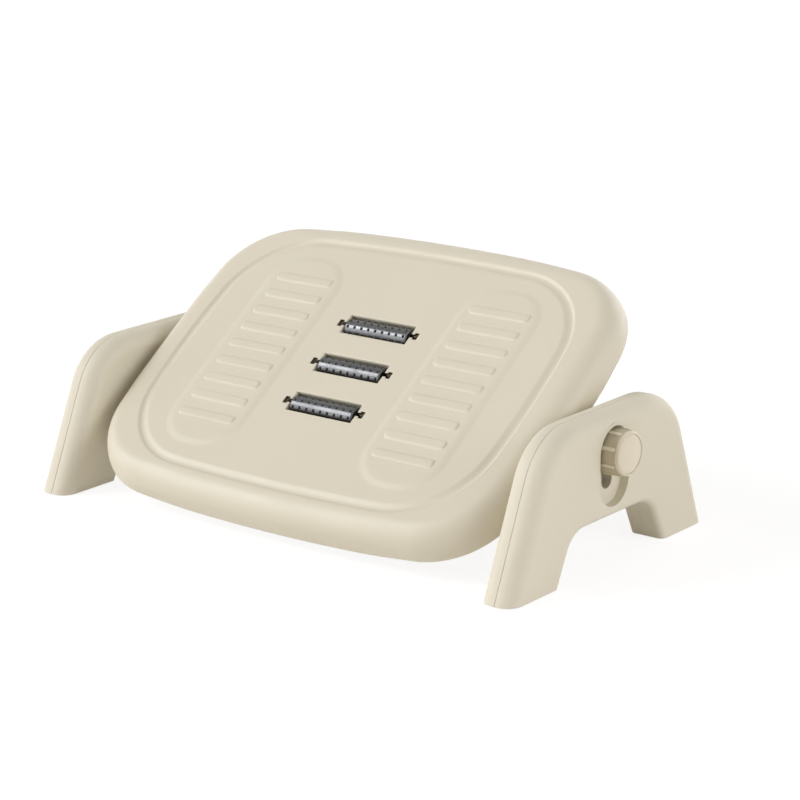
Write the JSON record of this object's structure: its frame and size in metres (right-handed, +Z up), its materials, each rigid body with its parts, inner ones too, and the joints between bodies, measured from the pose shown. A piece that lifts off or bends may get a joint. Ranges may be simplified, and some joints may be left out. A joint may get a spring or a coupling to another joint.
{
  "type": "massage roller foot rest",
  "caption": "Tilting foot rest with a ribbed, crowned platform, studded massage rollers in windows, arched side stands and clamping knobs in height slots.",
  "frame": {"origin": "on the floor, in the middle between the four feet", "axes": "+X to the sitter's right, +Y away from the sitter, +Z up"},
  "size_m": [0.5754, 0.3, 0.2227],
  "materials": {
    "stand_shells": "satin ivory moulded plastic",
    "platform_shell": "satin ivory moulded plastic",
    "cover_plastic": "satin ivory moulded plastic",
    "cradle_plastic": "satin ivory moulded plastic",
    "knob_plastic": "satin ivory moulded plastic",
    "roller_plastic": "metallic blue-grey lacquer on plastic",
    "bush_plastic": "dark self-lubricating plastic",
    "washer_plastic": "dark friction washer",
    "pad_rubber": "dark rubber",
    "steel": "zinc plated steel"
  },
  "bodies": {
    "stands": {"right_stand_outer_shell": "stand_shells", "right_stand_inner_shell": "stand_shells", "right_front_foot_pad": "pad_rubber", "right_rear_foot_pad": "pad_rubber", "left_stand_outer_shell": "stand_shells", "left_stand_inner_shell": "stand_shells", "left_front_foot_pad": "pad_rubber", "left_rear_foot_pad": "pad_rubber"},
    "height_carrier": {"right_slide_bush": "bush_plastic", "left_slide_bush": "bush_plastic"},
    "platform": {"right_pivot_bolt": "steel", "right_friction_washer": "washer_plastic", "left_pivot_bolt": "steel", "left_friction_washer": "washer_plastic", "platform_top_shell": "platform_shell", "platform_bottom_cover": "cover_plastic", "bottom_cover_screws": "steel", "roller_cradle_screws": "steel", "front_roller_cradle": "cradle_plastic", "middle_roller_cradle": "cradle_plastic", "rear_roller_cradle": "cradle_plastic"},
    "right_clamp_washer": {"right_clamp_washer": "steel"},
    "right_knob": {"right_knob": "knob_plastic", "right_knob_nut": "steel", "right_knob_cap": "knob_plastic"},
    "left_clamp_washer": {"left_clamp_washer": "steel"},
    "left_knob": {"left_knob": "knob_plastic", "left_knob_nut": "steel", "left_knob_cap": "knob_plastic"},
    "front_roller": {"front_roller": "roller_plastic", "front_roller_axle": "steel"},
    "middle_roller": {"middle_roller": "roller_plastic", "middle_roller_axle": "steel"},
    "rear_roller": {"rear_roller": "roller_plastic", "rear_roller_axle": "steel"}
  },
  "joints": [
    {"name": "height_slide", "type": "slide", "parent": "stands", "child": "height_carrier", "axis": [0, 0, 1], "range_m": [-0.027, 0]},
    {"name": "platform_tilt", "type": "hinge", "parent": "height_carrier", "child": "platform", "pos_m": [0, 0, 0.101], "axis": [1, 0, 0], "range_deg": [-60, 2.5]},
    {"name": "front_roller_spin", "type": "hinge", "parent": "platform", "child": "front_roller", "pos_m": [0, -0.0543, 0.10118], "axis": [1, 0, 0], "continuous": true},
    {"name": "middle_roller_spin", "type": "hinge", "parent": "platform", "child": "middle_roller", "pos_m": [0, -0.01505, 0.12881], "axis": [1, 0, 0], "continuous": true},
    {"name": "rear_roller_spin", "type": "hinge", "parent": "platform", "child": "rear_roller", "pos_m": [0, 0.0242, 0.15643], "axis": [1, 0, 0], "continuous": true},
    {"name": "right_clamp_slide", "type": "slide", "parent": "height_carrier", "child": "right_clamp_washer", "axis": [1, 0, 0], "range_m": [0, 0.0025]},
    {"name": "right_knob_turn", "type": "hinge", "parent": "right_clamp_washer", "child": "right_knob", "pos_m": [0.2636, 0, 0.101], "axis": [1, 0, 0], "range_deg": [0, 719]},
    {"name": "left_clamp_slide", "type": "slide", "parent": "height_carrier", "child": "left_clamp_washer", "axis": [-1, 0, 0], "range_m": [0, 0.0025]},
    {"name": "left_knob_turn", "type": "hinge", "parent": "left_clamp_washer", "child": "left_knob", "pos_m": [-0.2636, 0, 0.101], "axis": [-1, 0, 0], "range_deg": [0, 719]}
  ],
  "couplings": [
    {"joint": "right_clamp_slide", "follows": "right_knob_turn", "m_per_rad": 0.00019894},
    {"joint": "left_clamp_slide", "follows": "left_knob_turn", "m_per_rad": 0.00019894}
  ]
}
